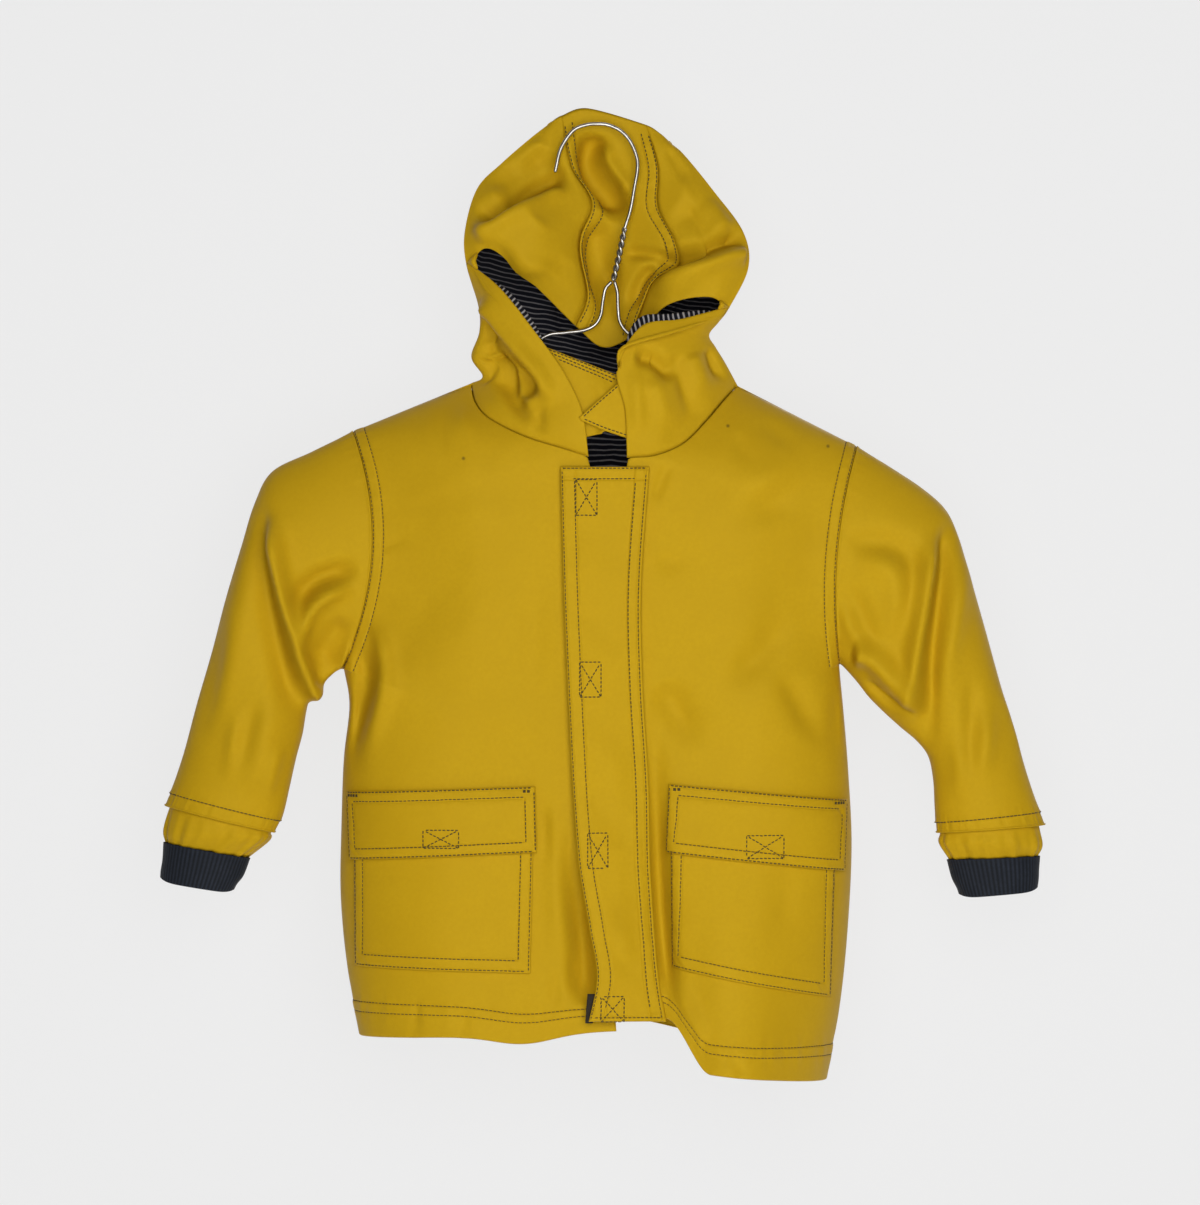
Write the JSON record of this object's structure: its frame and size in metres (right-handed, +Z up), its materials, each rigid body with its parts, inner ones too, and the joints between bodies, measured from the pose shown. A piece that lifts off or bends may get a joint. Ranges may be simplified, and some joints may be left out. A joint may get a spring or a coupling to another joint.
{
  "type": "kids hooded windbreaker on a wire hanger",
  "caption": "Child's hooded coated rain jacket with storm flap, patch pockets and ribbed cuffs, hanging on a wire hanger.",
  "frame": {"origin": "underside of the hanger hook's top, where it rests on a rail", "axes": "+X to the viewer's right, which is the wearer's left; -Y to the jacket's front; +Z up"},
  "size_m": [0.5514, 0.1223, 0.6068],
  "materials": {
    "coated_cloth": "mustard yellow polyurethane-coated jersey, half matt",
    "striped_lining": "cotton jersey in narrow navy-black and grey stripes",
    "rib_knit": "navy ribbed cotton knit, matt",
    "fastener_tape": "dark hook-and-loop tape",
    "hanger_wire": "bright drawn steel wire"
  },
  "bodies": {
    "root": {"front_panel_right": "coated_cloth", "front_panel_left": "coated_cloth", "back_panel": "coated_cloth", "sleeve_right": "coated_cloth", "sleeve_left": "coated_cloth", "sleeve_band_right": "coated_cloth", "sleeve_band_left": "coated_cloth", "rib_cuff_right": "rib_knit", "rib_cuff_left": "rib_knit", "hood_centre": "coated_cloth", "hood_side_right": "coated_cloth", "hood_side_left": "coated_cloth", "hood_lining": "striped_lining", "back_neck_lining": "striped_lining", "throat_band": "coated_cloth", "chin_tab": "coated_cloth", "storm_flap": "coated_cloth", "flap_fastener_tape": "fastener_tape", "pocket_right": "coated_cloth", "pocket_left": "coated_cloth", "pocket_flap_right": "coated_cloth", "pocket_flap_left": "coated_cloth", "hanger_hook": "hanger_wire", "hanger_twist": "hanger_wire", "hanger_shoulder_right": "hanger_wire", "hanger_shoulder_left": "hanger_wire", "hanger_bar": "hanger_wire"}
  },
  "joints": []
}
